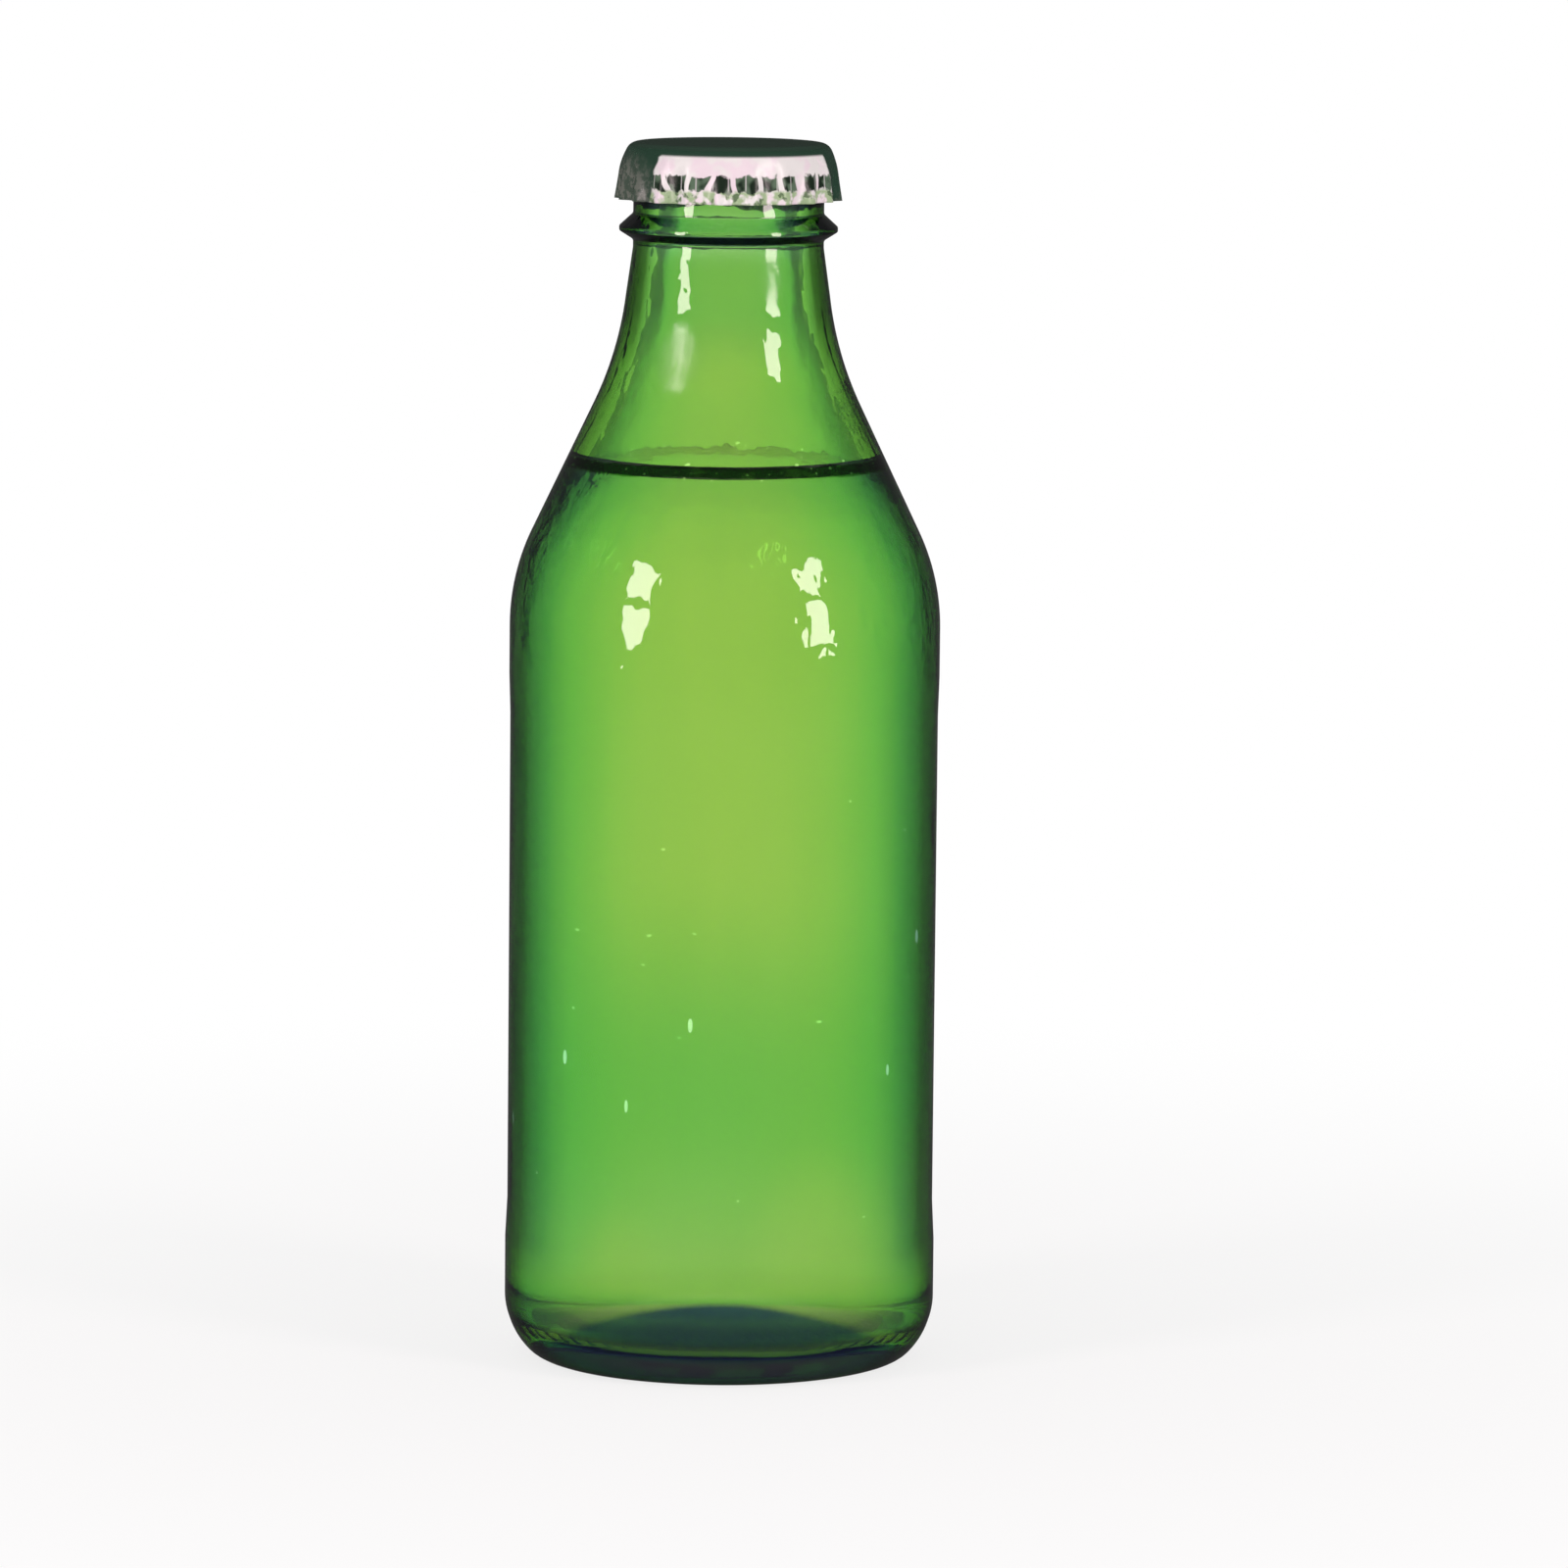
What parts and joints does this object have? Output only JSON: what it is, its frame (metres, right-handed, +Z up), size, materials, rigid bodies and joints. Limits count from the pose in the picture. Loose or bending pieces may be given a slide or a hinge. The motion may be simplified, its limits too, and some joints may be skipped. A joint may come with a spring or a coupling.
{
  "type": "soda bottle",
  "caption": "Small sealed green glass soda bottle with a long conical shoulder, full to the shoulder with clear drink, under a crimped crown cap.",
  "frame": {"origin": "centre of the circle on which the bottle stands, at the level of the surface under it", "axes": "+Z up along the bottle's axis, from its base to its cap; +X and +Y level, with no side marked out"},
  "size_m": [0.0546, 0.0546, 0.1545],
  "materials": {
    "green_glass": "clear green container glass, fire-polished and slightly wavy",
    "clear_drink": "clear, colourless still liquid with a few small bubbles at its surface",
    "cap_lacquer": "glossy dark green lacquer on tinplate, worn bright along the flutes"
  },
  "bodies": {
    "root": {"bottle_glass": "green_glass", "soda": "clear_drink", "crown_cap": "cap_lacquer"}
  },
  "joints": []
}
